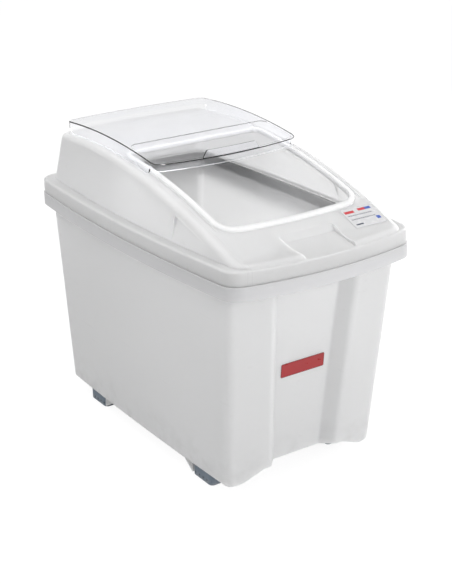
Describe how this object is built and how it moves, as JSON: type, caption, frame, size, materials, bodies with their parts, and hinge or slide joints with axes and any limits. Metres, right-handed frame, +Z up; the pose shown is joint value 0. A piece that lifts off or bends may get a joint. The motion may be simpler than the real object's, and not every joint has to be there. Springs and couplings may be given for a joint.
{
  "type": "ingredient bin",
  "caption": "Under-counter ingredient bin: a deep drafted tub on rubber feet, with a lift-off arched hood and a clear cover that slides back along the arch.",
  "frame": {"origin": "on the floor, under the middle of the rim", "axes": "+X to the bin's right as seen from the front, the front faces -Y, +Z up"},
  "size_m": [0.4038, 0.7, 0.564],
  "materials": {
    "tub_plastic": "milky white, slightly translucent, fine satin",
    "hood_plastic": "white, fine satin",
    "clear_plastic": "clear, polished",
    "foot_rubber": "blue-grey, matt",
    "info_print": "white film with small printed marks",
    "red_print": "plain red film"
  },
  "bodies": {
    "bin_body": {"tub": "tub_plastic", "foot_front_left": "foot_rubber", "foot_front_right": "foot_rubber", "foot_rear_left": "foot_rubber", "foot_rear_right": "foot_rubber", "front_label": "red_print"},
    "hood_body": {"hood": "hood_plastic", "info_label": "info_print"},
    "cover_body": {"sliding_cover": "clear_plastic"}
  },
  "joints": [
    {"name": "hood_lift", "type": "slide", "parent": "bin_body", "child": "hood_body", "axis": [0, 0, 1], "range_m": [0, 0.3]},
    {"name": "cover_slide", "type": "hinge", "parent": "hood_body", "child": "cover_body", "pos_m": [0, 0.16, -0.704], "axis": [1, 0, 0], "range_deg": [0, 9.1]}
  ]
}
